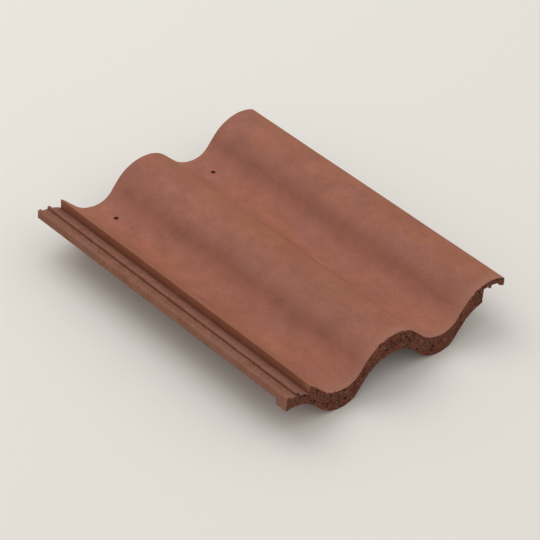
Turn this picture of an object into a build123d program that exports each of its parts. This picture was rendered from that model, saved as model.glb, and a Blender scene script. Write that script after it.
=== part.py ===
# Interlocking double roll roof tile, one solid, as it lies on a level floor.
#
# X runs across the tile, from the side lock on the left to the cover roll on the right.
# Y runs along its length, from the front edge to the head, and Z is up.
# Sizes are millimetres. The origin is the middle of the tile's box, on the floor.
#
# The tile's own frame is tilted a little, because it rests on its front lip and its nibs.
# In that frame x is 0 on the crest line of the neighbour's cover roll, y is 0 at the
# front edge, and z is 0 on the upper face at the bottom of a pan.
import os
from math import atan2, cos, degrees, radians, sin, tan

from build123d import *

# Weathering face: a wave of round rolls and pans joined by straight flanks
roll_pitch = 150.0
roll_count = 2
rise = 40.0
crest_radius = 50.0
pan_radius = 50.0
steep_flank = 52.0  # degrees, on the left of each roll
gentle_flank = 43.5  # degrees, on the right of each roll

# Body
length = 420.0
thickness = 11.0

# Side lock: the cover roll lies over the neighbour's under-lock shelf
cover_edge = 25.5  # from the last crest to the free edge
cover_thickness = 7.5  # measured upright
joint_gap = 1.5
shelf_overhang = 6.5  # the shelf's reach past the crest line
shelf_thickness = 6.5  # measured upright
lock_play = 0.8
lock_rib_height = 3.5
outer_rib_width = 5.0
inner_rib_width = 4.0
inner_rib_from = 7.5
cover_rib_width = 4.0
cover_rib_from = 1.0
edge_rib_width = 7.5
rib_round = 1.0
free_edge_round = 2.0

# Front lip and weather bars, which close the head lap over the course below
front_depth = 26.0  # upright depth of the front edge
lip_length = 16.0
bar_clearance = 2.0
bar_width = 6.0
bar_places = (40.0, 58.0)  # from the front edge

# Batten nibs, which draw in towards the foot and the head, as they leave the mould
nib_foot_width = 38.0
nib_length = 15.0
nib_depth = 17.0  # below the pan's underside
nib_draft = 8.0  # degrees
nib_setback = 7.0  # from the head

# Nail holes
nail_hole_radius = 3.0
nail_hole_distance = 34.0  # from the head

# The pan is rounder under the steep flank, so that flanks and arcs close on the pitch
pan_distance = (crest_radius + pan_radius) * tan(radians(gentle_flank / 2)) + rise / tan(radians(gentle_flank))
steep_run = roll_pitch - pan_distance - rise / tan(radians(steep_flank))
steep_pan_radius = steep_run / tan(radians(steep_flank / 2)) - crest_radius
pans = [number * roll_pitch + pan_distance for number in range(roll_count)]

# Limits across the tile and along it
cover_width = roll_count * roll_pitch
left_edge = -shelf_overhang
right_edge = cover_width + cover_edge
body_left = cover_edge + joint_gap
body_right = cover_width - shelf_overhang - joint_gap
hanging_length = length - nib_setback - nib_length  # to the nibs' bearing faces

# Heights in the side lock, as drops from the wave
shelf_drop = cover_thickness + lock_rib_height + lock_play
shelf_middle = shelf_drop + shelf_thickness / 2
shelf_root = body_left + shelf_thickness  # the shelf runs on under the body as far as this
beyond = 3 * rise  # higher and lower than any part of the section

# How the tile lies: on the front lip's lower arris and the nibs' front arris
nib_bottom = -thickness - nib_depth
tilt = atan2(-front_depth - nib_bottom, hanging_length)
front_reach = -rise * sin(tilt)
head_reach = length * cos(tilt) + thickness * sin(tilt)
tile_frame = Plane(
    origin=(-(left_edge + right_edge) / 2, -(front_reach + head_reach) / 2, front_depth * cos(tilt)),
    x_dir=(1, 0, 0),
    z_dir=(0, -sin(tilt), cos(tilt)),
)


def section_plane(distance):
    """Return the upright plane across the tile at a distance from the front edge, facing the front."""
    origin = tile_frame.from_local_coords((0, distance, 0))
    return Plane(origin=origin, x_dir=(1, 0, 0), z_dir=-tile_frame.y_dir)


def wave(offset, drop):
    """Draw the wave, set in from the upper face by an offset square to it, and lowered by a drop."""
    ends = []
    for number in range(roll_count + 1):
        crest_x = number * roll_pitch
        crest_centre = (crest_x, rise - crest_radius - drop)
        crest = CenterArc(crest_centre, crest_radius - offset, 90 + steep_flank, -steep_flank - gentle_flank)
        if number > 0:
            Line(ends[-1], crest @ 0)
        else:
            ends.append(crest @ 0)
        if number == roll_count:
            ends.append(crest @ 1)
            break
        pan_x = crest_x + pan_distance
        gentle_centre = (pan_x, pan_radius - drop)
        gentle = CenterArc(gentle_centre, pan_radius + offset, 270 - gentle_flank, gentle_flank)
        steep_centre = (pan_x, steep_pan_radius - drop)
        steep = CenterArc(steep_centre, steep_pan_radius + offset, 270, steep_flank)
        Line(crest @ 1, gentle @ 0)
        ends.append(steep @ 1)
    return ends[0], ends[-1]


def band(x_from, x_to, upper, lower):
    """Return the strip of section between two waves, each an (offset, drop) pair, cut square at both ends."""
    with BuildSketch(mode=Mode.PRIVATE) as strip:
        with BuildLine():
            upper_ends = wave(*upper)
            lower_ends = wave(*lower)
            Line(upper_ends[0], lower_ends[0])
            Line(upper_ends[1], lower_ends[1])
        make_face()
        with Locations(((x_from + x_to) / 2, 0)):
            Rectangle(x_to - x_from, 2 * beyond, mode=Mode.INTERSECT)
    return strip.sketch


def rib(x_from, x_to, upper_drop, lower_drop, standing):
    """Return a band with the two corners of its free side rounded, the upper ones if it is standing."""
    with BuildSketch(mode=Mode.PRIVATE) as strip:
        add(band(x_from, x_to, (0, upper_drop), (0, lower_drop)))
        corners = strip.vertices().sort_by(Axis.Y)
        fillet(corners[-2:] if standing else corners[:2], rib_round)
    return strip.sketch


def nib(pan_x):
    """Return the section of a nib, from the middle of the body down to its foot."""
    half_foot = nib_foot_width / 2
    spread = half_foot + beyond * tan(radians(nib_draft))
    with BuildSketch(mode=Mode.PRIVATE) as outline:
        with Locations((pan_x, nib_bottom)):
            Polygon((-half_foot, 0), (half_foot, 0), (spread, beyond), (-spread, beyond), align=None)
        under_body = band(pan_x - spread, pan_x + spread, (thickness / 2, 0), (thickness / 2, beyond))
        add(under_body, mode=Mode.INTERSECT)
    return outline.sketch


with BuildPart() as tile:
    # The whole section, as it runs from the front edge to the head
    with BuildSketch(section_plane(0)) as section:
        add(band(body_left, body_right, (0, 0), (thickness, 0)))
        # Cover roll, thinner over the lock, with its two hanging ribs
        add(band(body_right - cover_thickness, right_edge, (0, 0), (0, cover_thickness)))
        cover_rib_left = cover_width + cover_rib_from
        for rib_from, rib_to in (
            (cover_rib_left, cover_rib_left + cover_rib_width),
            (right_edge - edge_rib_width, right_edge),
        ):
            add(rib(rib_from, rib_to, cover_thickness / 2, cover_thickness + lock_rib_height, standing=False))
        free_edge = section.vertices().group_by(Axis.X)[-1].sort_by(Axis.Y)[-1]
        fillet(free_edge, free_edge_round)
        # Under-lock shelf with its two standing ribs and the water channels between
        add(band(left_edge, shelf_root, (0, shelf_drop), (0, shelf_drop + shelf_thickness)))
        for rib_from, rib_to in (
            (left_edge, left_edge + outer_rib_width),
            (inner_rib_from, inner_rib_from + inner_rib_width),
        ):
            add(rib(rib_from, rib_to, shelf_drop - lock_rib_height, shelf_middle, standing=True))
    extrude(amount=-length)

    # Front lip, which nearly fills the step down to the course below
    with BuildSketch(section_plane(0)) as lip:
        add(band(body_left, body_right, (thickness / 2, 0), (0, front_depth)))
        add(band(left_edge, shelf_root, (0, shelf_middle), (0, front_depth)))
    extrude(amount=-lip_length)

    # Weather bars across the underside
    for place in bar_places:
        with BuildSketch(section_plane(place)) as bar:
            add(band(shelf_root, body_right, (thickness / 2, 0), (0, front_depth - bar_clearance)))
        extrude(amount=-bar_width)

    # Nibs under the pans, flat in front where they hang on the batten
    with BuildSketch(section_plane(hanging_length)) as nibs:
        for pan_x in pans:
            add(nib(pan_x))
    extrude(amount=-nib_length, taper=nib_draft)

    # Nail holes through the bottom of each pan, over the batten
    nail_places = [
        Plane(origin=tile_frame.from_local_coords((pan_x, length - nail_hole_distance, 0)), z_dir=tile_frame.z_dir)
        for pan_x in pans
    ]
    with Locations(*nail_places):
        Hole(nail_hole_radius, depth=2 * thickness)

tile.part.label = "tile"

os.makedirs("parts", exist_ok=True)
export_step(tile.part, "parts/tile.step")

box = tile.part.bounding_box()
print(f"tile: {len(tile.part.solids())} solid, volume {tile.part.volume / 1e6:.3f} litres")
print(f"box {box.size.X:.2f} x {box.size.Y:.2f} x {box.size.Z:.2f} mm, lowest point {box.min.Z:.4f}")
print(f"tilt {degrees(tilt):.4f} degrees, steep pan radius {steep_pan_radius:.2f}, pan distance {pan_distance:.2f}")
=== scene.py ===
# %% [markdown]
# # One interlocking roof tile with a terracotta coat
#
# The object is a single double roll tile. Its face is a wave of two rolls and two pans under a matt
# terracotta coat, and its front edge is a cut through bare, gritty concrete, dark partly by its own colour
# and partly by painted shade.
# The CAD part gives the true shape. This scene makes the same shape again as one closed surface that is
# fine enough to carry the small unevenness of a cast thing, and gives it its finishes.

# %% Load the imported part
from math import cos, radians, sin, sqrt, tan

import bpy
import numpy as np
from mathutils import Matrix, Vector


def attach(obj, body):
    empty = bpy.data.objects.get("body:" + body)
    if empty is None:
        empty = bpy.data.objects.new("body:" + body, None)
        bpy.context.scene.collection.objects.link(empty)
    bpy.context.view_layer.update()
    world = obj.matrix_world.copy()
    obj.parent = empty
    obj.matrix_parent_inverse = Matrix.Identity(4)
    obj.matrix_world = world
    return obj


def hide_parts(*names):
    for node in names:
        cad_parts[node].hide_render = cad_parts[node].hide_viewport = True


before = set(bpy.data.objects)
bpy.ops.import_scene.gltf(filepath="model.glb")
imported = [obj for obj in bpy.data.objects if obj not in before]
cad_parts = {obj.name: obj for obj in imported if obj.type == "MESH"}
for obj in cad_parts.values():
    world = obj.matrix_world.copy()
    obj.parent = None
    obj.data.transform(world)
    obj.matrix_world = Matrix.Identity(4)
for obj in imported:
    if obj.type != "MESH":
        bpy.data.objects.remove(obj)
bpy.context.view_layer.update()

# %% [markdown]
# ## Camera
#
# The photograph looks down from the front left, with the picture leaning a few degrees.
# A camera can be aimed with a Track To constraint, which keeps the picture level. Here three angles give
# its axes directly, because the lean is part of the view. A long lens from far away keeps the lines along
# the tile nearly parallel, as they are in the photograph.

# %% Camera at the photograph's viewing angle
AZIMUTH = radians(-44.9)
ELEVATION = radians(37.4)
LEAN = radians(4.1)
DISTANCE = 2.95
FIELD_OF_VIEW = radians(11.9)
AIM = Vector((0.004, 0.0, 0.020))

forward = Vector((-sin(AZIMUTH) * cos(ELEVATION), cos(AZIMUTH) * cos(ELEVATION), -sin(ELEVATION)))
level_right = forward.cross(Vector((0, 0, 1))).normalized()
level_up = level_right.cross(forward)
right = level_right * cos(LEAN) + level_up * sin(LEAN)
up = right.cross(forward)
camera = bpy.data.objects.new("camera", bpy.data.cameras.new("camera"))
camera.data.sensor_width = camera.data.sensor_height = 36
camera.data.angle = FIELD_OF_VIEW
camera.data.clip_end = 20
turn = Matrix((right, up, -forward)).transposed().to_4x4()
camera.matrix_world = Matrix.Translation(AIM - DISTANCE * forward) @ turn
bpy.context.scene.collection.objects.link(camera)
bpy.context.scene.camera = camera
print("camera stands at", [round(v, 2) for v in camera.matrix_world.translation])

# %% [markdown]
# ## Floor and light
#
# The tile lies on a plain pale floor, which is only there for the picture. The view transform is Standard,
# so that a colour renders about as it is written. Colours are written as a screen shows them, from 0 to
# 255, and turned into the linear values that a shader reads.

# %% Floor
bpy.context.scene.view_settings.view_transform = "Standard"


def srgb(red, green, blue):
    """Linear colour of an 8 bit display colour, by the sRGB curve, with an alpha of 1."""
    parts = np.array([red, green, blue]) / 255
    linear = np.where(parts < 0.04045, parts / 12.92, ((parts + 0.055) / 1.055) ** 2.4)
    return (*[float(v) for v in linear], 1.0)


def new_material(name):
    """A material, its node tree, and the Principled shader that a new tree holds beside its output."""
    material = bpy.data.materials.new(name)
    material.use_nodes = True
    return material, material.node_tree, material.node_tree.nodes["Principled BSDF"]


REACH = 8.0  # metres from the middle of the floor to its sides
floor_mesh = bpy.data.meshes.new("floor")
floor_mesh.from_pydata([(-REACH, -REACH, 0), (REACH, -REACH, 0), (REACH, REACH, 0), (-REACH, REACH, 0)], [],
                       [(0, 1, 2, 3)])
floor = bpy.data.objects.new("floor", floor_mesh)
bpy.context.scene.collection.objects.link(floor)
floor_material, _, shader = new_material("pale_floor")
shader.inputs["Base Color"].default_value = srgb(222, 219, 213)
shader.inputs["Roughness"].default_value = 0.9
floor_mesh.materials.append(floor_material)
print("floor:", 2 * REACH, "m wide, linear red", round(srgb(222, 219, 213)[0], 3))

# %% [markdown]
# The light in the photograph is that of an overcast sky: shadows are faint, and the rolls are shaded only
# a little. An even world light does most of that. One wide area lamp from behind adds the soft side that
# makes the rolls read, and leaves the front edge in shade, as in the photograph.

# %% World and lamp
world = bpy.data.worlds.new("overcast")
world.use_nodes = True
sky = world.node_tree.nodes["Background"]
sky.inputs["Color"].default_value = (1.0, 0.99, 0.975, 1)
sky.inputs["Strength"].default_value = 0.86
bpy.context.scene.world = world

lamp_place = Vector((-0.1, 1.6, 2.7))
lamp = bpy.data.objects.new("sky_window", bpy.data.lights.new("sky_window", "AREA"))
lamp.data.size = 2.4
lamp.data.energy = 27
lamp.location = lamp_place
lamp.rotation_euler = (-lamp_place).to_track_quat("-Z", "Y").to_euler()
bpy.context.scene.collection.objects.link(lamp)
print("lamp:", lamp.data.energy, "W,", round(lamp_place.length, 2), "m away; world strength",
      round(sky.inputs["Strength"].default_value, 2))

# %% [markdown]
# ## The wave across the tile
#
# The section is made of arcs and straight lines: a round crest, a straight flank, a round pan and a steeper
# flank up to the next crest. A sine would be shorter to write, but its flanks are too soft. Each height
# can be worked out from x alone, and the underside is the same wave with every arc set in by the thickness.
# All lengths are millimetres in the tile's own frame: x is 0 on the crest line left of the tile, y is 0 at
# the front edge, and z is 0 at the bottom of a pan.

# %% Height of the wave
PITCH, RISE, LENGTH, THICKNESS = 150.0, 40.0, 420.0, 11.0
CREST_RADIUS, PAN_RADIUS = 50.0, 50.0
STEEP, GENTLE = radians(52.0), radians(43.5)
PAN = (CREST_RADIUS + PAN_RADIUS) * tan(GENTLE / 2) + RISE / tan(GENTLE)
STEEP_PAN_RADIUS = (PITCH - PAN - RISE / tan(STEEP)) / tan(STEEP / 2) - CREST_RADIUS


def wave(x, inset=0.0):
    """Height at x: each arc is its centre's height plus or minus the root of radius squared less x squared,
    and each flank is a straight line from the end of the crest's arc. The inset shrinks the crests and
    widens the pans."""
    x = np.mod(x, PITCH)
    crest, pan, steep_pan = CREST_RADIUS - inset, PAN_RADIUS + inset, STEEP_PAN_RADIUS + inset
    base = RISE - CREST_RADIUS

    def arc(radius, centre):
        return np.sqrt(np.maximum(radius**2 - (x - centre) ** 2, 0))

    return np.select(
        [x < crest * sin(GENTLE), x < PAN - pan * sin(GENTLE), x < PAN, x < PAN + steep_pan * sin(STEEP),
         x < PITCH - crest * sin(STEEP)],
        [base + arc(crest, 0),
         base + crest * cos(GENTLE) - (x - crest * sin(GENTLE)) * tan(GENTLE),
         PAN_RADIUS - arc(pan, PAN),
         STEEP_PAN_RADIUS - arc(steep_pan, PAN),
         base + crest * cos(STEEP) - (PITCH - crest * sin(STEEP) - x) * tan(STEEP)],
        base + arc(crest, PITCH),
    )


print("wave at crest, pan and next crest:", np.round(wave(np.array([0, PAN, PITCH - 1e-6])), 2))

# %% [markdown]
# ## Columns, rows and layers
#
# The tile is thought of as a block of cells: columns across, rows along and layers down. Cells are filled
# or empty, and the visible surface is every side between a filled cell and an empty one. That keeps the
# mesh closed by itself, however the lock's ribs and channels run. The other ways, joining parts with
# Booleans or remeshing a copy of the CAD mesh, leave slivers or round the arrises off.
# The columns stand on the section's corners, and every run has an even number of steps, because the
# front end uses all columns and the rest of the tile only every second one.

# %% Columns from the shelf's edge to the cover's free edge
LEFT, SHELF_ROOT, BODY_LEFT, BODY_RIGHT, RIGHT = -6.5, 33.5, 27.0, 292.0, 325.5
OUTER_RIB, INNER_RIB = (LEFT, -1.5), (7.5, 11.5)  # standing on the shelf
COVER_RIB, EDGE_RIB = (301.0, 305.0), (318.0, RIGHT)  # hanging from the cover roll
PANS = (PAN, PAN + PITCH)
NIB_FOOT, NIB_ROOT = 19.0, 22.0  # half widths
FINE_STEP = 1.0
SHELF_STEP = 0.4  # half the width of the slope where the shelf's underside meets the body's
# Places across a rib, closer where its corners are rounded
RIB_STEPS = np.array([0, 0.3, 1, 2, 3, 3.7, 4])
WIDE_RIB_STEPS = np.array([0, 0.3, 1, 2.5, 4, 4.7, 5])
EDGE_STEPS = np.array([0, 0.3, 1, 2.5, 4, 5.3, 6.1, 6.6, 7.0, 7.3, 7.5])


def run(start, end, step=FINE_STEP):
    """Evenly spaced places from start to end, with an even number of steps near the wished size."""
    return np.linspace(start, end, 2 * max(1, round((end - start) / step / 2)) + 1)


def join(*runs):
    """One list of places out of runs that share their end points."""
    return np.concatenate([runs[0]] + [r[1:] for r in runs[1:]])


nib_runs = [join(run(x - NIB_ROOT, x - NIB_FOOT), np.linspace(x - NIB_FOOT, x + NIB_FOOT, 41),
                 run(x + NIB_FOOT, x + NIB_ROOT)) for x in PANS]
columns = join(
    LEFT + WIDE_RIB_STEPS, run(OUTER_RIB[1], INNER_RIB[0]), INNER_RIB[0] + RIB_STEPS,
    run(INNER_RIB[1], BODY_LEFT), run(BODY_LEFT, SHELF_ROOT - SHELF_STEP),
    run(SHELF_ROOT - SHELF_STEP, SHELF_ROOT + SHELF_STEP), run(SHELF_ROOT + SHELF_STEP, PANS[0] - NIB_ROOT),
    nib_runs[0], run(PANS[0] + NIB_ROOT, PANS[1] - NIB_ROOT),
    nib_runs[1], run(PANS[1] + NIB_ROOT, BODY_RIGHT),
    run(BODY_RIGHT, COVER_RIB[0]), COVER_RIB[0] + RIB_STEPS, run(COVER_RIB[1], EDGE_RIB[0]),
    EDGE_RIB[0] + EDGE_STEPS,
)
print(len(columns), "columns at the front end,", len(columns[::2]), "behind it")

# %% [markdown]
# The rows are close at the front end, where the ragged arris needs them, and about as far apart as the
# coarse columns behind it. A slope is as steep as its two rows are close, so every upright side of the lip,
# the bars and the nibs stands between a narrow pair of rows.

# %% Rows from the front edge to the head
HOLE_Y, HOLE_RADIUS = 386.0, 3.0
HOLE_HALF_X, HOLE_HALF_Y = 3.8, 4.8
LIP_END, BARS, NIB_START, NIB_END = 16.0, ((40.0, 46.0), (58.0, 64.0)), 398.0, 413.0
ROW, MIDDLE_ROW = 2.4, 2.45  # the second one runs from the last bar to the nail holes
LIP_SIDE, BAR_SIDE, NIB_FACE, NIB_BACK = 0.8, 0.6, 0.4, 0.5  # distances within the narrow pairs
front_rows = np.array([0, 0.5, 1.1, 1.9, 2.9, 4.1])
FRONT_DEPTH = front_rows[-1]
stops = [(FRONT_DEPTH, ROW), (LIP_END, LIP_SIDE), (LIP_END + LIP_SIDE, ROW)]
for (start, end), step_behind in zip(BARS, (ROW, MIDDLE_ROW)):
    stops += [(start, BAR_SIDE), (start + BAR_SIDE, ROW), (end - BAR_SIDE, BAR_SIDE), (end, step_behind)]
stops += [(HOLE_Y - HOLE_HALF_Y, ROW), (HOLE_Y + HOLE_HALF_Y, ROW), (NIB_START - NIB_FACE, NIB_FACE),
          (NIB_START, ROW), (NIB_END - NIB_BACK, NIB_BACK), (NIB_END, ROW), (LENGTH, 0)]
rows = join(*[
    np.linspace(a, b, max(1, round((b - a) / step)) + 1) for (a, step), (b, _) in zip(stops[:-1], stops[1:])
])
print(len(front_rows), "rows in the front end,", len(rows), "behind it")

# %% [markdown]
# ## Unevenness
#
# Cast and sawn surfaces are never true. Smooth random heights, interpolated between the knots of a coarse
# grid, give that unevenness at any scale. Blender has a noise module, but it works point by point; whole
# arrays are faster, and a fixed seed gives the same tile each time.

# %% Smooth random fields
KNOTS = 256
KNOTS_BEFORE_ZERO = 60


def noise(u, v, cell_u, cell_v, seed):
    """Random heights from -1 to 1 at the knots of a grid with the given cells, eased between the four knots
    around each point by 3t squared less 2t cubed. The table of knots repeats where it ends."""
    table = np.random.default_rng(seed).uniform(-1, 1, (KNOTS, KNOTS))
    a, b = np.asarray(u) / cell_u + KNOTS_BEFORE_ZERO, np.asarray(v) / cell_v + KNOTS_BEFORE_ZERO
    i, j = np.floor(a).astype(int), np.floor(b).astype(int)
    s, t = a - i, b - j
    s, t = s * s * (3 - 2 * s), t * t * (3 - 2 * t)
    i, j, i1, j1 = i % KNOTS, j % KNOTS, (i + 1) % KNOTS, (j + 1) % KNOTS
    return ((table[i, j] * (1 - s) + table[i1, j] * s) * (1 - t)
            + (table[i, j1] * (1 - s) + table[i1, j1] * s) * t)


def bumps(x, places, widths, heights):
    """Sum of bell shapes, each its height times e to the minus of the distance over its width, squared."""
    return np.sum(heights * np.exp(-(((x[..., None] - places) / widths) ** 2)), axis=-1)


def face_relief(x, y):
    """Long shallow waves, plus the draw marks that the slipper leaves along the face."""
    return (0.22 * noise(x, y, 38, 60, 1) + 0.10 * noise(x, y, 14, 22, 2)
            + 0.10 * noise(x, y, 4.5, 160, 3) + 0.05 * noise(x, y, 5, 7, 4))


print("relief of the face, mm:", np.round(np.std(face_relief(*np.meshgrid(columns, rows))), 3))

# %% [markdown]
# ## The cut front edge
#
# The blade that parts one tile from the next drags grit through the stiff concrete. The arris comes out
# blunt, with torn burrs and missing chips, and the face has hollows where a stone was pulled out, most of
# them under the crests. The arris is shaped by bells along it, and the pits are round hollows in the face.

# %% Arris and pits
draw = np.random.default_rng(11)
SMALL_BURRS, CHIPS, PIT_COUNT = 9, 12, 175
PITS_NEAR_CRESTS, PIT_SPREAD = 0.6, 17.0
BURR_FROM_CREST = 21.0
# The first crest lies over the shelf alone, so its line is moved into the body
crest_lines = np.array([BODY_LEFT + 6, PITCH, 2 * PITCH])
burr_places = np.concatenate([crest_lines[1:] - BURR_FROM_CREST,
                              draw.uniform(BODY_LEFT, RIGHT, SMALL_BURRS)])
burr_widths = np.concatenate([[2.8, 2.2], draw.uniform(0.9, 2.0, SMALL_BURRS)])
burr_heights = np.concatenate([[2.2, 1.5], draw.uniform(0.2, 0.8, SMALL_BURRS)])
chip_places = draw.uniform(BODY_LEFT, RIGHT, CHIPS)
chip_widths = draw.uniform(1.0, 2.6, CHIPS)
chip_depths = draw.uniform(0.3, 0.8, CHIPS)
pit_near_crest = draw.random(PIT_COUNT) < PITS_NEAR_CRESTS
pit_x = np.where(pit_near_crest,
                 draw.choice(crest_lines, PIT_COUNT) + draw.normal(0, PIT_SPREAD, PIT_COUNT),
                 draw.uniform(BODY_LEFT, BODY_RIGHT, PIT_COUNT))
pit_drop = draw.uniform(2.0, 23.5, PIT_COUNT)
pit_radius = draw.uniform(0.8, 2.1, PIT_COUNT)
pit_depth = pit_radius * draw.uniform(0.5, 0.9, PIT_COUNT)


def arris_height(x, y):
    """Change of the face's height near the front edge: the blunt arris, its ragged line, burrs and chips,
    each fading with the distance y from the edge."""
    blunt = -0.45 * np.exp(-y / 0.6) * (1 + 0.4 * noise(x, y, 3, 9, 5))
    ragged = 0.20 * noise(x, y, 2.2, 3, 6) * np.exp(-y / 1.0)
    return (blunt + ragged + bumps(x, burr_places, burr_widths, burr_heights) * np.exp(-((y / 1.3) ** 2))
            - bumps(x, chip_places, chip_widths, chip_depths) * np.exp(-((y / 1.6) ** 2)))


def cut_depth(x, drop):
    """How far the cut face lies behind the blade's line: slow waves, drag marks, grain, and the pits, each
    its depth times one less its distance over its radius squared, to the power 0.7."""
    depth = (0.55 + 0.30 * noise(x, drop, 26, 40, 7) + 0.16 * noise(x, drop, 9, 2.2, 8)
             + 0.20 * noise(x, drop, 2.6, 2.3, 9) + 0.16 * noise(x, drop, 1.3, 1.2, 10))
    for x0, drop0, radius, deepest in zip(pit_x, pit_drop, pit_radius, pit_depth):
        if x0 > BODY_RIGHT - 4:  # the cover roll is too thin for deep pits
            deepest = 0.4 * deepest
        away = ((x - x0) ** 2 + (drop - drop0) ** 2) / radius**2
        depth = depth + deepest * np.clip(1 - away, 0, 1) ** 0.7
    return depth


print(len(burr_places), "burrs,", len(chip_places), "chips and", PIT_COUNT, "pits")

# %% [markdown]
# ## Underside
#
# Seen from below, the tile is the same wave set in by its thickness, with a deep lip in front, two weather
# bars, and two nibs that hang on the batten. Each of them is a height at (x, y), and the lowest one wins.
# Their limits lie between the two rows of each pair, so that the rows decide how steep a side is.

# %% Heights of the underside
COVER_THICKNESS, RIB_HEIGHT, SHELF_DROP, SHELF_THICKNESS = 7.5, 3.5, 11.8, 6.5
LIP_DEPTH, BAR_DEPTH = 26.0, 24.0
NIB_BOTTOM, NIB_DRAFT = -28.0, 2.1  # towards the head, a nib's foot rises and narrows by the draft
ABSENT = 99.0  # higher than anything


def underside(x, y):
    """Lowest of the inset wave, the shelf, the lip, the bars and the nibs, each at its drop or height."""
    top = wave(x)
    low = wave(x, THICKNESS) + 0.12 * noise(x, y, 17, 23, 12)
    shelf = np.where(x < SHELF_ROOT, top - SHELF_DROP - SHELF_THICKNESS, ABSENT)
    lip = np.where(y < LIP_END + LIP_SIDE / 2, top - LIP_DEPTH, ABSENT)
    on_bar = np.any([(y > start + BAR_SIDE / 2) & (y < end - BAR_SIDE / 2) for start, end in BARS], axis=0)
    bar = np.where(on_bar & (x > SHELF_ROOT), top - BAR_DEPTH, ABSENT)
    near_pan = np.min([np.abs(x - p) for p in PANS], axis=0)
    on_nib = (near_pan < NIB_FOOT + 0.1) & (y > NIB_START - NIB_FACE / 2) & (y < NIB_END - NIB_BACK / 2)
    foot = NIB_BOTTOM + (y - NIB_START) * NIB_DRAFT / (NIB_END - NIB_START)
    nib = np.where(on_nib, foot, ABSENT)
    return np.min([low, shelf, lip, bar, nib], axis=0)


print("underside at lip, body and nib:",
      [round(float(underside(np.array(PAN), y)), 1) for y in (5.0, 200.0, 405.0)])

# %% [markdown]
# Between the face and the underside run two more main layers, the cover roll's underside and the shelf's
# top. Over the shelf and under the cover they stand at the lock's own heights, which the ribs need. In the
# body they are only guides that split it into even cells, and near its ends they run towards the lock's.

# %% Heights of the four main layers
RIB_ROUND, EDGE_ROUND = 1.0, 2.0
COVER_GUIDE = 9.3  # drop of the second layer left of the hanging ribs, where only the body's wall shows
GUIDES = (0.4, 8.0), (0.7, 10.5)  # share of the body's thickness, and drop at the body's ends
BODY_ENDS = (BODY_LEFT, BODY_LEFT + 9, BODY_RIGHT - 8, BODY_RIGHT)


def rounding(inside, radius):
    """Drop of a rounded corner at a distance inside its side: the radius less a quarter circle's height."""
    t = np.clip(1 - inside / radius, 0, 1)
    return radius * (1 - np.sqrt(1 - t**2))


def rib_round(x, ribs):
    """Drop of the rounded corners of two ribs at x. Beside the ribs it is a corner's full drop."""
    inside = np.max([np.minimum(x - start, end - x) for start, end in ribs], axis=0)
    return rounding(np.maximum(inside, 0), RIB_ROUND)


def layer_heights(x, y):
    """Heights of the four main layers: face, cover underside, shelf top and underside. The middle two are
    drops from the wave: a share of the thickness in the body, and the lock's own drops beside it."""
    top, under = wave(x), underside(x, y)
    in_body = np.interp(x, BODY_ENDS, [0, 1, 1, 0])
    first, second = [in_body * (share * (top - under) - end_drop) + end_drop for share, end_drop in GUIDES]
    on_shelf, on_cover = x <= BODY_LEFT, x >= BODY_RIGHT
    first = np.where(on_shelf, SHELF_DROP - RIB_HEIGHT + rib_round(x, (OUTER_RIB, INNER_RIB)), first)
    first = np.where(on_cover, COVER_THICKNESS, first)
    hanging = np.where(x < COVER_RIB[0] - FINE_STEP / 2, COVER_GUIDE,
                       COVER_THICKNESS + RIB_HEIGHT - rib_round(x, (COVER_RIB, EDGE_RIB)))
    second = np.where(on_shelf, SHELF_DROP, np.where(on_cover, hanging, second))
    return [top - rounding(RIGHT - x, EDGE_ROUND), top - first, top - second, under]


middle = layer_heights(np.array(PITCH), 200.0)
print("drops of the layers in the middle of the tile:", [round(float(middle[0] - h), 1) for h in middle])

# %% [markdown]
# ## The two blocks of points
#
# Both blocks hold three coordinates for every column, row and layer. In the front block the rows give way
# to the cut's unevenness, and the layers follow the arris. Around each nail hole, a square of four by four
# cells is pulled onto a circle, and the cells inside are left empty.

# %% Points of both blocks
LAYER_STEPS = (10, 6, 10)
RELIEF_START = 6.0  # from the front edge to where the face has its full relief
HOLE_FADE = 2.4  # in halves of the square around a hole
NIB_FADE = 8.0  # from a nib's root to the columns that stay where they are
HEAD_SHIFT = 3 * PITCH  # takes the head's unevenness from where the front end's pits don't reach


def between(heights):
    """All layers, evenly spaced between the main ones, along a last axis."""
    parts = [heights[0][..., None]]
    for upper, lower, steps in zip(heights[:-1], heights[1:], LAYER_STEPS):
        t = np.arange(1, steps + 1) / steps
        parts.append(upper[..., None] * (1 - t) + lower[..., None] * t)
    return np.concatenate(parts, axis=-1)


def block(x, y):
    """Points for a grid of places: x, y and every layer's height, with the relief on the face."""
    heights = layer_heights(x, y)
    heights[0] = heights[0] + face_relief(x, y) * np.clip(y / RELIEF_START, 0, 1) + arris_height(x, y)
    z = between(heights)
    x, y = [np.broadcast_to(place[..., None], z.shape) for place in (x, y)]
    return np.stack([x, y, z], axis=-1)


def round_holes(x, y):
    """Pulls the squares around the nail holes onto circles: a place at s halves of its square from the
    centre goes to s radii away from it, fading back to its own place at the fade's end."""
    for centre in PANS:
        dx, dy = x - centre, y - HOLE_Y
        s = np.maximum(np.abs(dx) / HOLE_HALF_X, np.abs(dy) / HOLE_HALF_Y)
        away = np.hypot(dx, dy) + 1e-9
        fade = np.clip((HOLE_FADE - s) / (HOLE_FADE - 1), 0, 1)
        fade = fade * fade * (3 - 2 * fade)
        x = x + fade * (HOLE_RADIUS * s * dx / away - dx)
        y = y + fade * (HOLE_RADIUS * s * dy / away - dy)
    return x, y


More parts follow.
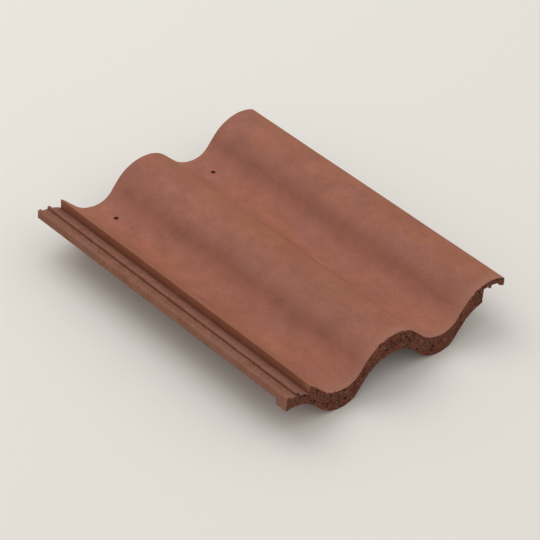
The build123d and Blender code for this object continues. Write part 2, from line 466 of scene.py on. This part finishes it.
def draft_nibs(x, y):
    """Draws the columns around each nib in towards its middle, by the draft at that row."""
    inwards = np.interp(y, [NIB_START, NIB_END, LENGTH], [0, NIB_DRAFT, 0])
    for centre in PANS:
        dx = x - centre
        share = np.interp(np.abs(dx), [0, NIB_FOOT, NIB_ROOT, NIB_ROOT + NIB_FADE], [0, 1, 1, 0])
        x = x - np.sign(dx) * share * inwards
    return x


def head_cut_depth(x, drop):
    """How far the head's cut lies inside the tile's length: half as rough as the front, without pits."""
    return 0.5 * cut_depth(x + HEAD_SHIFT, drop)


front = block(*np.meshgrid(columns, front_rows, indexing="ij"))
drop = front[:, :1, :1, 2] - front[:, 0, :, 2][:, None, :]
cut = cut_depth(np.broadcast_to(columns[:, None, None], drop.shape), drop)
front[..., 1] += cut * (1 - front[..., 1] / FRONT_DEPTH)
rear_x, rear_y = round_holes(*np.meshgrid(columns[::2], rows, indexing="ij"))
rear = block(draft_nibs(rear_x, rear_y), rear_y)[:, :, ::2]
rear_drop = rear[:, -1, :1, 2] - rear[:, -1, :, 2]
rear[:, -1, :, 1] -= head_cut_depth(rear[:, -1, :, 0], rear_drop)
print("front block", front.shape[:3], "rear block", rear.shape[:3])

# %% [markdown]
# ## From cells to one closed surface
#
# A side of a cell shows where the cell next to it is empty, so comparing the array of filled cells with
# itself, moved by one, finds all sides at once. Behind the front block the cells are twice as large, and
# there each side takes one more corner, the point in the middle of its neighbour's edge. Without that
# fifth corner the surface would have hairline gaps.

# %% Filled cells
GROUPS = np.repeat([0, 1, 2], LAYER_STEPS)


def section_cells(x_middle, groups):
    """Which cells of the section are filled: all of the body, under the cover only its ribs, over the shelf
    only its ribs."""
    x, g = x_middle[:, None], groups[None, :]
    standing = (x < OUTER_RIB[1]) | ((x > INNER_RIB[0]) & (x < INNER_RIB[1]))
    hanging = ((x > COVER_RIB[0]) & (x < COVER_RIB[1])) | (x > EDGE_RIB[0])
    return np.where(x < BODY_LEFT, (g == 2) | ((g == 1) & standing),
                    np.where(x > BODY_RIGHT, (g == 0) | ((g == 1) & hanging), True))


def middles(places):
    """Places half way between neighbours."""
    return (places[1:] + places[:-1]) / 2


front_cells = np.repeat(section_cells(middles(columns), GROUPS)[:, None, :], len(front_rows) - 1, axis=1)
rear_cells = np.repeat(section_cells(middles(columns[::2]), GROUPS[::2])[:, None, :], len(rows) - 1, axis=1)
hole_x = np.min([np.abs(middles(columns[::2]) - p) for p in PANS], axis=0) < HOLE_HALF_X
hole_y = np.abs(middles(rows) - HOLE_Y) < HOLE_HALF_Y
rear_cells &= ~(hole_x[:, None, None] & hole_y[None, :, None])

front_ids = np.arange(front[..., 0].size).reshape(front.shape[:3])
rear_ids = front_ids.size + np.arange(rear[..., 0].size).reshape(rear.shape[:3])
rear_ids[:, 0] = front_ids[::2, -1, ::2]
print("filled cells:", front_cells.sum(), "in the front block,", rear_cells.sum(), "in the rear block")

# %% [markdown]
# Where a side lies also decides its finish. The face is coated, and so are the cover's free edge and the
# body's wall beside the shelf, which show from above. Both ends are cut, and all the rest is bare.

# %% Visible sides and their finishes
def visible_sides(cells, ids, axis):
    """Corners of every side across one axis, as seen from outside, with the first cell index of each side
    and whether the tile lies on its far side (1) or its near side (-1)."""
    padded = np.pad(cells, [(1, 1) if a == axis else (0, 0) for a in range(3)]).astype(np.int8)
    change = np.diff(padded, axis=axis)
    across, down = np.eye(3, dtype=int)[[(axis + 1) % 3, (axis + 2) % 3]]
    at = np.argwhere(change != 0)
    moves = (0 * across, across, across + down, down)
    corners = np.stack([ids[tuple((at + move).T)] for move in moves], axis=1)
    return corners, at, change[tuple(at.T)]


COAT, CUT, RAW = 0, 1, 2
faces, finishes = [], []


def collect(corners, sides, finish):
    """Adds polygons to the list, turned round where the tile lies on their near side."""
    faces.extend(c if s == 1 else c[::-1] for c, s in zip(corners.tolist(), sides.tolist()))
    finishes.extend(finish.tolist())


for cells, ids, places, seam in ((front_cells, front_ids, columns, len(front_rows) - 1),
                                 (rear_cells, rear_ids, columns[::2], 0)):
    for axis in range(3):
        corners, at, side = visible_sides(cells, ids, axis)
        keep = np.ones(len(at), bool)
        if axis == 0:
            coated = (at[:, 0] == len(places) - 1) | np.isclose(places[at[:, 0]], BODY_LEFT)
            finish = np.where(coated, COAT, RAW)
        elif axis == 1:
            keep = at[:, 1] != seam  # where the blocks meet, inside the tile
            finish = np.where((at[:, 1] == 0) | (at[:, 1] == len(rows) - 1), CUT, RAW)
        else:
            finish = np.where((side == 1) & (at[:, 2] == 0), COAT, RAW)
        at_seam = (at[:, 1] == seam) & (axis != 1) & (cells is rear_cells)
        plain = keep & ~at_seam
        collect(corners[plain], side[plain], finish[plain])
        if at_seam.any():
            i, _, k = at[at_seam].T
            extra = front_ids[2 * i, -1, 2 * k + 1] if axis == 0 else front_ids[2 * i + 1, -1, 2 * k]
            five = np.insert(corners[at_seam], 4 if axis == 0 else 1, extra, axis=1)
            collect(five, side[at_seam], finish[at_seam])
print(len(faces), "faces,", sum(len(f) - 2 for f in faces), "triangles")

# %% [markdown]
# ## The tile's mesh
#
# The points are turned from the tile's own frame to the way it lies: on the front lip and the nibs, with
# the head a little higher. Points that no face uses are dropped. The hollows of the cut face are kept as
# an attribute, so that the material can paint shade into them.

# %% Place the points and make the mesh
TILT = np.arctan2(-LIP_DEPTH - NIB_BOTTOM, NIB_START)
MIDDLE_Y = (-RISE * sin(TILT) + LENGTH * cos(TILT) + THICKNESS * sin(TILT)) / 2


def stored(points):
    """Metres in the part's frame: turned by the tilt about x, then moved to the middle of the box."""
    x, y, z = np.moveaxis(np.asarray(points, float), -1, 0)
    return np.stack([x - (LEFT + RIGHT) / 2, y * cos(TILT) - z * sin(TILT) - MIDDLE_Y,
                     y * sin(TILT) + z * cos(TILT) + LIP_DEPTH * cos(TILT)], axis=-1) / 1000


def make_piece(name, points, polygons):
    """An object at the origin whose mesh holds the points in metres."""
    mesh = bpy.data.meshes.new(name)
    mesh.from_pydata(points.tolist(), [], polygons)
    mesh.validate()
    mesh.shade_smooth()
    piece = bpy.data.objects.new(name, mesh)
    bpy.context.scene.collection.objects.link(piece)
    return piece


# Depths of the cut between which the painted shade in its hollows deepens.
HOLLOW_FROM, HOLLOW_FULL = 0.6, 1.8  # depths of the cut between which its hollows darken
all_points = np.concatenate([front.reshape(-1, 3), rear.reshape(-1, 3)])
hollow = np.zeros(len(all_points))
hollow[front_ids[:, 0]] = np.clip((cut[:, 0] - HOLLOW_FROM) / (HOLLOW_FULL - HOLLOW_FROM), 0, 1)
used, renumbered = np.unique(np.concatenate(faces), return_inverse=True)
starts = np.cumsum([0] + [len(f) for f in faces])
polygons = [renumbered[a:b].tolist() for a, b in zip(starts[:-1], starts[1:])]
tile = make_piece("dressed_tile", stored(all_points[used]), polygons)
tile.data.polygons.foreach_set("material_index", np.array(finishes, dtype=np.int32))
tile.data.set_sharp_from_angle(angle=radians(38))
hollow_layer = tile.data.attributes.new("hollow", "FLOAT", "POINT")
hollow_layer.data.foreach_set("value", hollow[used].astype(np.float32))
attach(tile, "root")
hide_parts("tile")
print("tile:", len(tile.data.vertices), "points,", len(tile.data.polygons), "faces")

# %% [markdown]
# ## Finishes
#
# All patterns are worked out from Object coordinates, which are metres from the middle of the tile, so
# they stay on the tile in any view. A few short helpers add the nodes: one gives a noise, one puts a value
# through a ramp, one mixes two colours.

# %% Node helpers
def feed(tree, socket, value):
    """Links the input to a value that is a socket, or writes any other value on the input itself."""
    if isinstance(value, bpy.types.NodeSocket):
        tree.links.new(value, socket)
    else:
        socket.default_value = value


def coordinates(tree, scale=(1, 1, 1)):
    """Object coordinates, stretched by a scale for each axis."""
    place = tree.nodes.new("ShaderNodeTexCoord")
    mapping = tree.nodes.new("ShaderNodeMapping")
    mapping.inputs["Scale"].default_value = scale
    feed(tree, mapping.inputs["Vector"], place.outputs["Object"])
    return mapping.outputs["Vector"]


def attribute(tree, name):
    """Values that the mesh carries under a name."""
    node = tree.nodes.new("ShaderNodeAttribute")
    node.attribute_name = name
    return node.outputs["Fac"]


def cloud(tree, vector, size, detail=2.0, rough=0.5):
    """Noise from 0 to 1 whose blotches are about the given size in metres."""
    texture = tree.nodes.new("ShaderNodeTexNoise")
    texture.inputs["Scale"].default_value = 0.6 / size
    texture.inputs["Detail"].default_value = detail
    texture.inputs["Roughness"].default_value = rough
    feed(tree, texture.inputs["Vector"], vector)
    return texture.outputs["Fac"]


def ramp(tree, value, *stops):
    """A ramp through (place, colour) stops; a single number stands for a grey."""
    node = tree.nodes.new("ShaderNodeValToRGB")
    elements = node.color_ramp.elements
    while len(elements) < len(stops):
        elements.new(0.5)
    for element, (place, colour) in zip(elements, stops):
        element.position = place
        element.color = colour if isinstance(colour, tuple) else (colour, colour, colour, 1)
    feed(tree, node.inputs["Fac"], value)
    return node.outputs["Color"]


def mix(tree, factor, first, second, blend="MIX"):
    """Two colours mixed by a factor; each of the three is a socket or a value."""
    node = tree.nodes.new("ShaderNodeMix")
    node.data_type = "RGBA"
    node.blend_type = blend
    for socket, value in ((node.inputs[0], factor), (node.inputs[6], first), (node.inputs[7], second)):
        feed(tree, socket, value)
    return node.outputs[2]


def multiply(tree, colour, by):
    """A colour made darker below 1 and lighter above it."""
    return mix(tree, 1.0, colour, by, "MULTIPLY")


def arithmetic(tree, operation, *values):
    """One math node on sockets or numbers."""
    node = tree.nodes.new("ShaderNodeMath")
    node.operation = operation
    for socket, value in zip(node.inputs, values):
        feed(tree, socket, value)
    return node.outputs[0]


def weighted(tree, first, first_weight, second, second_weight):
    """Sum of two values, each times its weight."""
    return arithmetic(tree, "ADD", arithmetic(tree, "MULTIPLY", first, first_weight),
                      arithmetic(tree, "MULTIPLY", second, second_weight))


def bump(tree, height, distance, shader, strength=1.0):
    """Bump from a height of 0 to 1 that stands for a distance in metres."""
    node = tree.nodes.new("ShaderNodeBump")
    node.inputs["Strength"].default_value = strength
    node.inputs["Distance"].default_value = distance
    feed(tree, node.inputs["Height"], height)
    feed(tree, shader.inputs["Normal"], node.outputs["Normal"])


# %% [markdown]
# ## The coat
#
# The face is sprayed with a matt coat while the concrete is fresh. It is orange brown with mauve clouds,
# darker on the steep flanks, partly by a thinner coat and partly by painted shade, fuller and pinkish where
# it gathers at the front arris, with faint streaks along the tile, sand that stands up a little, and a few
# pinholes. A painted picture could show all that, but noises at the real sizes stay sharp at any distance
# and need no unwrapping.
# The coat's own colour comes first: two tones in clouds, with finer patches over them.

# %% Coat: clouds and patches
coat, tree, shader = new_material("terracotta_coat")
even = coordinates(tree)
along = coordinates(tree, (1, 0.8, 1))
streaky = coordinates(tree, (1, 0.03, 1))
separate = tree.nodes.new("ShaderNodeSeparateXYZ")
feed(tree, separate.inputs[0], even)

clouds = ramp(tree, cloud(tree, along, 0.026, 3.0, 0.6), (0.34, 0.0), (0.68, 1.0))
colour = mix(tree, clouds, srgb(155, 98, 76), srgb(149, 97, 83))
patches = ramp(tree, cloud(tree, even, 0.016, 5.0, 0.66), (0.28, 0.82), (0.72, 1.16))
colour = multiply(tree, colour, patches)
print("the clouds take", len(tree.nodes), "nodes")

# %% [markdown]
# The coat changes where the wave turns. The phase is the place across one roll, from 0 on a crest line to
# 1 on the next, so a ramp over it treats both rolls alike. A noise moves the phase by up to a fortieth, so
# that no band runs quite straight. Broad clouds show most around the gentle flanks, from 0.14 to 0.36. The
# brightness over the phase is partly the coat's own tone and partly painted light and shade: painted light
# at the foot of the steep flanks, near 0.68, and painted shade on them and above, from 0.72 on, where the
# coat is also thinner.

# %% Coat: bands that follow the wave
WAVER = 0.05
CREST_TO_MIDDLE = ((LEFT + RIGHT) / 2 + PITCH) / 1000  # from a crest line left of the tile to its middle
from_crest = arithmetic(tree, "ADD", separate.outputs[0], CREST_TO_MIDDLE)
phase = arithmetic(tree, "FRACT", arithmetic(tree, "DIVIDE", from_crest, PITCH / 1000))
wander = cloud(tree, along, 0.030)
phase = arithmetic(tree, "ADD", phase, arithmetic(tree, "MULTIPLY_ADD", wander, WAVER, -WAVER / 2))

broad = ramp(tree, cloud(tree, even, 0.040, 2.0), (0.3, 0.85), (0.7, 1.15))
restless = ramp(tree, phase, (0.0, 0.55), (0.14, 1.0), (0.36, 1.0), (0.44, 0.25), (0.80, 0.32), (1.0, 0.55))
colour = mix(tree, restless, colour, broad, "MULTIPLY")
# Painted light and shade over the phase, with part of the coat's own tone: painted light at the foot of the
# steep flanks, painted shade on them and on the crest's left shoulder.
tone_and_painted_light = ramp(tree, phase, (0.0, 0.93), (0.12, 0.905), (0.16, 0.922), (0.25, 1.02), (0.37, 1.075),
                  (0.45, 1.06), (0.60, 1.05), (0.655, 1.135), (0.68, 1.15), (0.72, 0.905), (0.75, 0.915),
                  (0.80, 0.922), (0.86, 0.942), (0.91, 0.972), (1.0, 0.93))
colour = multiply(tree, colour, tone_and_painted_light)
pinkish = ramp(tree, phase, (0.56, 0.0), (0.68, 0.42), (0.72, 0.20), (0.80, 0.37), (0.86, 0.25),
               (0.94, 0.05))
colour = mix(tree, pinkish, colour, srgb(148, 100, 89))
orange = ramp(tree, phase, (0.0, 0.16), (0.12, 0.48), (0.20, 0.62), (0.28, 0.51), (0.34, 0.30),
              (0.42, 0.10), (0.50, 0.0), (0.92, 0.0), (1.0, 0.16))
colour = mix(tree, orange, colour, srgb(150, 93, 66))
print("with the bands there are", len(tree.nodes))

# %% [markdown]
# The rim is a ramp over the distance from the front edge, and it wavers as the bands do. Pinholes are
# discs in Voronoi cells, of which only those with a high random colour get one. They go into the bump too.

# %% Coat: rim, grain, pinholes and relief
RIM_LENGTH, RIM_WAVER = 0.030, 0.006
PINHOLE_CELLS, PINHOLE_RADIUS, PINHOLE_STRENGTH = 75, 0.14, 0.55
front_edge = float(stored((0, 0, RISE / 2))[1])
from_front = arithmetic(tree, "SUBTRACT", separate.outputs[1], front_edge)
rim_shift = arithmetic(tree, "MULTIPLY_ADD", wander, RIM_WAVER, -RIM_WAVER / 2)
from_front = arithmetic(tree, "ADD", from_front, rim_shift)
rim = ramp(tree, arithmetic(tree, "DIVIDE", from_front, RIM_LENGTH), (0.0, 0.8), (0.16, 0.5), (0.5, 0.0))
colour = mix(tree, rim, colour, srgb(154, 107, 92))

streaks = ramp(tree, cloud(tree, streaky, 0.006, 2.0), (0.3, 0.985), (0.7, 1.01))
colour = multiply(tree, colour, streaks)
grain = ramp(tree, cloud(tree, even, 0.0009, 2.0), (0.25, 0.84), (0.75, 1.14))
colour = multiply(tree, colour, grain)
spots = tree.nodes.new("ShaderNodeTexVoronoi")
spots.inputs["Scale"].default_value = PINHOLE_CELLS
feed(tree, spots.inputs["Vector"], even)
spot_size = ramp(tree, spots.outputs["Color"], (0.80, 0.0), (1.0, 1.0))
spot_radius = arithmetic(tree, "MULTIPLY", spot_size, PINHOLE_RADIUS)
spot = arithmetic(tree, "LESS_THAN", spots.outputs["Distance"], spot_radius)
colour = mix(tree, arithmetic(tree, "MULTIPLY", spot, PINHOLE_STRENGTH), colour, srgb(92, 56, 44))
feed(tree, shader.inputs["Base Color"], colour)
shader.inputs["Roughness"].default_value = 0.82
shader.inputs["Specular IOR Level"].default_value = 0.2
sand = cloud(tree, even, 0.0008, 3.0, 0.6)
peel = cloud(tree, even, 0.0035, 1.0)
height = arithmetic(tree, "SUBTRACT", weighted(tree, sand, 0.5, peel, 0.5), spot)
bump(tree, height, 0.0004, shader, 0.8)
print("the whole coat has", len(tree.nodes), "nodes")

# %% [markdown]
# ## Bare concrete
#
# Cut and bare concrete are made in the same way: a red brown paste with grains of sand in it, and Voronoi
# cells give each grain a colour of its own. A noise moves the cells' coordinates about, which takes the
# straight sides off the grains. The cut is coarser, and darker, partly by its own colour and partly by
# painted shade, with more painted shade in its hollows. The underside was pressed against its mould, so it
# is smoother and paler, with finer grains.

# %% Paste and grains
def grain_layer(tree, colour, vector, size, strength, grains):
    """The colour with a layer of grains over it, and where the grains are. A grain is a disc around its
    cell's point, and its radius and its tone are the cell's random green and red."""
    cells = tree.nodes.new("ShaderNodeTexVoronoi")
    cells.inputs["Scale"].default_value = 1 / size
    feed(tree, cells.inputs["Vector"], vector)
    chance = tree.nodes.new("ShaderNodeSeparateColor")
    feed(tree, chance.inputs[0], cells.outputs["Color"])
    radius = arithmetic(tree, "MULTIPLY_ADD", chance.outputs[1], 0.75, -0.25)
    inside = arithmetic(tree, "SUBTRACT", radius, cells.outputs["Distance"])
    shown = ramp(tree, inside, (0.0, 0.0), (0.10, 1.0))
    tones = ramp(tree, chance.outputs[0], *grains)
    return mix(tree, arithmetic(tree, "MULTIPLY", shown, strength), colour, tones), shown


def concrete(name, pastes, grains, grain_size, shade_hollows, bump_distance):
    """A paste in three tones, sand grains of several tones and two sizes, and a bump of the same grains."""
    material, tree, shader = new_material(name)
    even = coordinates(tree)
    dark_paste, light_paste, grey_paste = pastes
    light = ramp(tree, cloud(tree, even, 0.008, 4.0, 0.6), (0.35, 0.0), (0.65, 1.0))
    colour = mix(tree, light, dark_paste, light_paste)
    grey = ramp(tree, cloud(tree, even, 0.022, 2.0), (0.48, 0.0), (0.70, 0.55))
    colour = mix(tree, grey, colour, grey_paste)

    jostle = tree.nodes.new("ShaderNodeTexNoise")
    jostle.inputs["Scale"].default_value = 1.2 / grain_size
    feed(tree, jostle.inputs["Vector"], even)
    jostled = tree.nodes.new("ShaderNodeVectorMath")
    jostled.operation = "MULTIPLY_ADD"
    for socket, value in zip(jostled.inputs, (jostle.outputs["Color"], [grain_size] * 3, even)):
        feed(tree, socket, value)
    vector = jostled.outputs[0]
    colour, _ = grain_layer(tree, colour, vector, 0.45 * grain_size, 0.45, grains)
    colour, shown = grain_layer(tree, colour, vector, grain_size, 0.75, grains)

    fine = cloud(tree, even, 0.0010, 3.0, 0.7)
    colour = multiply(tree, colour, ramp(tree, fine, (0.25, 0.70), (0.75, 1.28)))
    # Painted shade in the hollows of the cut, deepest in the deepest pits.
    if shade_hollows:
        colour = multiply(tree, colour, ramp(tree, attribute(tree, "hollow"), (0.0, 1.0), (0.9, 0.28)))
    feed(tree, shader.inputs["Base Color"], colour)
    shader.inputs["Roughness"].default_value = 0.93
    shader.inputs["Specular IOR Level"].default_value = 0.2
    bump(tree, weighted(tree, fine, 0.6, shown, 0.4), bump_distance, shader)
    print(name, "has", len(tree.nodes), "nodes")
    return material


# %% Cut and bare materials
# The cut's pastes and grains are dark partly by the concrete's own colour and partly by painted shade.
cut_pastes = srgb(87, 41, 27), srgb(114, 58, 39), srgb(92, 60, 47)
cut_grains = ((0.15, srgb(56, 31, 22)), (0.45, srgb(94, 52, 37)), (0.70, srgb(119, 77, 57)),
              (0.95, srgb(150, 115, 92)))
bare_pastes = srgb(124, 80, 64), srgb(136, 92, 75), srgb(132, 96, 82)
bare_grains = (0.2, srgb(104, 72, 58)), (0.5, srgb(128, 92, 74)), (0.8, srgb(150, 118, 98))
cut_concrete = concrete("cut_concrete", cut_pastes, cut_grains, 0.0030, True, 0.0006)
bare_concrete = concrete("bare_concrete", bare_pastes, bare_grains, 0.0018, False, 0.0002)
for material in (coat, cut_concrete, bare_concrete):
    tile.data.materials.append(material)
print("materials on the tile:", [m.name for m in tile.data.materials])

# %% [markdown]
# ## Grit in the cut faces
#
# Grains of sand and fine gravel stand out of both cut ends. Each is a twenty sided pebble, stretched and
# turned at random, and sunk by more than half into the face. Hundreds of separate objects would do the
# same, but one mesh with a tone for each grain is lighter to carry.

# %% Meshes of pebbles
GOLDEN = (1 + sqrt(5)) / 2
PEBBLE = np.array([
    (-1, GOLDEN, 0), (1, GOLDEN, 0), (-1, -GOLDEN, 0), (1, -GOLDEN, 0),
    (0, -1, GOLDEN), (0, 1, GOLDEN), (0, -1, -GOLDEN), (0, 1, -GOLDEN),
    (GOLDEN, 0, -1), (GOLDEN, 0, 1), (-GOLDEN, 0, -1), (-GOLDEN, 0, 1),
]) / sqrt(1 + GOLDEN**2)
PEBBLE_SIDES = np.array([
    (0, 11, 5), (0, 5, 1), (0, 1, 7), (0, 7, 10), (0, 10, 11),
    (1, 5, 9), (5, 11, 4), (11, 10, 2), (10, 7, 6), (7, 1, 8),
    (3, 9, 4), (3, 4, 2), (3, 2, 6), (3, 6, 8), (3, 8, 9),
    (4, 9, 5), (2, 4, 11), (6, 2, 10), (8, 6, 7), (9, 8, 1),
])


def pebbles(name, centres, radii, seed):
    """One mesh of pebbles. Each point is a corner of the solid, jittered, stretched, turned and moved to
    its pebble's centre."""
    rng = np.random.default_rng(seed)
    count = len(centres)
    turns, _ = np.linalg.qr(rng.normal(size=(count, 3, 3)))
    turns[np.linalg.det(turns) < 0, :, 0] *= -1
    stretch = radii[:, None] * rng.uniform(0.7, 1.25, (count, 3))
    corners = PEBBLE[None] * rng.uniform(0.86, 1.1, (count, len(PEBBLE), 1)) * stretch[:, None, :]
    points = np.einsum("nij,nkj->nki", turns, corners) + centres[:, None, :]
    points[..., 1] = np.clip(points[..., 1], 0, LENGTH)
    sides = PEBBLE_SIDES[None] + len(PEBBLE) * np.arange(count)[:, None, None]
    piece = make_piece(name, stored(points.reshape(-1, 3)), sides.reshape(-1, 3).tolist())
    tone = piece.data.attributes.new("tone", "FLOAT", "POINT")
    tone.data.foreach_set("value", np.repeat(rng.random(count), len(PEBBLE)).astype(np.float32))
    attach(piece, "root")
    return piece


print("a pebble has", len(PEBBLE), "corners and", len(PEBBLE_SIDES), "sides")

# %% [markdown]
# Places are drawn at random, a third of them around the crests, and kept where a pebble fits inside the
# section. The head is cut in the same way, so it gets the same grit.

# %% Pebbles on both cuts
PEBBLES_NEAR_CRESTS, PEBBLE_SPREAD = 0.35, 20.0
FRONT_TRIES, HEAD_TRIES = 2600, 2300
SUNK = 0.35  # share of its radius that a pebble's middle lies behind the face


def on_cut_face(count, y, seed):
    """Random x, drop and radius, kept where a pebble of that radius lies inside the filled section at y."""
    rng = np.random.default_rng(seed)
    near_crest = rng.random(count) < PEBBLES_NEAR_CRESTS
    x = np.where(near_crest, rng.choice(crest_lines, count) + rng.normal(0, PEBBLE_SPREAD, count),
                 rng.uniform(LEFT, RIGHT, count))
    drops = rng.uniform(0.6, LIP_DEPTH, count)
    radii = rng.gamma(4.0, 0.14, count).clip(0.25, 1.5)
    margin = 0.3 + 0.6 * radii
    least = np.where(x < BODY_LEFT + margin, SHELF_DROP, 0)
    depth = wave(x) - underside(x, np.full(count, y))
    most = np.where(x > BODY_RIGHT - margin, COVER_THICKNESS, depth)
    in_width = (x > LEFT + margin) & (x < RIGHT - margin)
    keep = in_width & (drops > least + 0.5 + radii) & (drops < most - margin)
    return x[keep], drops[keep], radii[keep]


x, drops, radii = on_cut_face(FRONT_TRIES, 0.0, 21)
centres = np.stack([x, cut_depth(x, drops) + SUNK * radii, wave(x) - drops], axis=-1)
front_grit = pebbles("front_grit", centres, radii, 22)
x, drops, radii = on_cut_face(HEAD_TRIES, LENGTH, 31)
centres = np.stack([x, LENGTH - head_cut_depth(x, drops) - SUNK * radii, wave(x) - drops], axis=-1)
head_grit = pebbles("head_grit", centres, radii, 32)
for piece in (front_grit, head_grit):
    print(piece.name, "has", len(piece.data.polygons) // len(PEBBLE_SIDES), "pebbles")

# %% [markdown]
# Every pebble carries a tone from 0 to 1. The material turns it into one of the sand's colours, dark ones
# for the most part, with a fine mottle over them.

# %% Grit material
grit, tree, shader = new_material("grit")
tones = ramp(tree, attribute(tree, "tone"), (0.0, srgb(56, 32, 23)), (0.35, srgb(84, 46, 33)),
             (0.7, srgb(106, 67, 49)), (0.9, srgb(124, 92, 71)), (1.0, srgb(146, 116, 96)))
mottle = ramp(tree, cloud(tree, coordinates(tree), 0.0006, 2.0), (0.25, 0.8), (0.75, 1.2))
feed(tree, shader.inputs["Base Color"], multiply(tree, tones, mottle))
shader.inputs["Roughness"].default_value = 0.8
for piece in (front_grit, head_grit):
    piece.data.materials.append(grit)
print("grit has", len(tree.nodes), "nodes")
